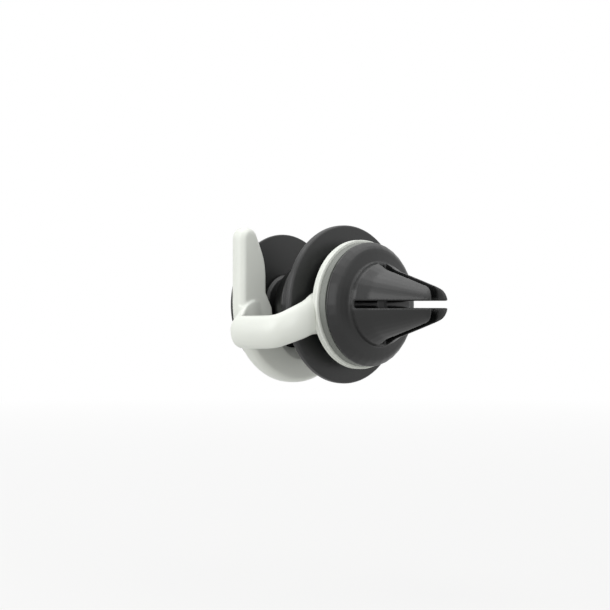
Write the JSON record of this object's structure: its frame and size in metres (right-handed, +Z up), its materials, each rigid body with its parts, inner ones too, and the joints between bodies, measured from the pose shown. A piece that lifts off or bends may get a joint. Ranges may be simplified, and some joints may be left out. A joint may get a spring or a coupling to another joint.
{
  "type": "air vent phone holder",
  "caption": "Phone holder with a swivelling split-jaw vent clip, an arm bracket ending in a U-shaped cradle, and a collapsible grip that carries the phone.",
  "frame": {"origin": "on the swivel axis, 1 mm in front of the floor of the level slot that takes the vent blade", "axes": "+Y along the swivel axis towards the phone, -Y towards the vent, +Z up, +X away from the arm"},
  "size_m": [0.0451, 0.0547, 0.0399],
  "materials": {
    "pale_plastic": "satin-gloss moulded",
    "grey_plastic": "satin moulded",
    "nylon": "satin moulded",
    "zinc_steel": "zinc plated",
    "rubber": "matte moulded",
    "black_plastic": "matte moulded",
    "elastomer": "matte moulded",
    "adhesive_foam": "matte foam"
  },
  "bodies": {
    "bracket": {"cradle_bracket": "pale_plastic", "bracket_back_cover": "pale_plastic", "swivel_bush": "grey_plastic", "friction_washer": "nylon"},
    "clip": {"clip_core": "nylon", "clip_boot": "rubber", "swivel_screw": "zinc_steel", "flat_washer": "zinc_steel", "wave_spring": "zinc_steel"},
    "grip_base": {"adhesive_pad": "adhesive_foam", "base_disc": "black_plastic", "foot_clamp": "nylon", "bellows": "elastomer"},
    "grip_top": {"top_hub": "nylon", "top_clamp": "nylon", "top_disc": "black_plastic"}
  },
  "joints": [
    {"name": "clip_swivel", "type": "hinge", "parent": "bracket", "child": "clip", "pos_m": [0, 0.0056, 0], "axis": [0, 1, 0], "continuous": true},
    {"name": "grip_swivel", "type": "hinge", "parent": "bracket", "child": "grip_base", "pos_m": [0, 0.03175, 0], "axis": [0, 1, 0], "continuous": true},
    {"name": "grip_collapse", "type": "slide", "parent": "grip_base", "child": "grip_top", "axis": [0, 1, 0], "range_m": [0, 0.01], "deforming": ["bellows"]}
  ]
}
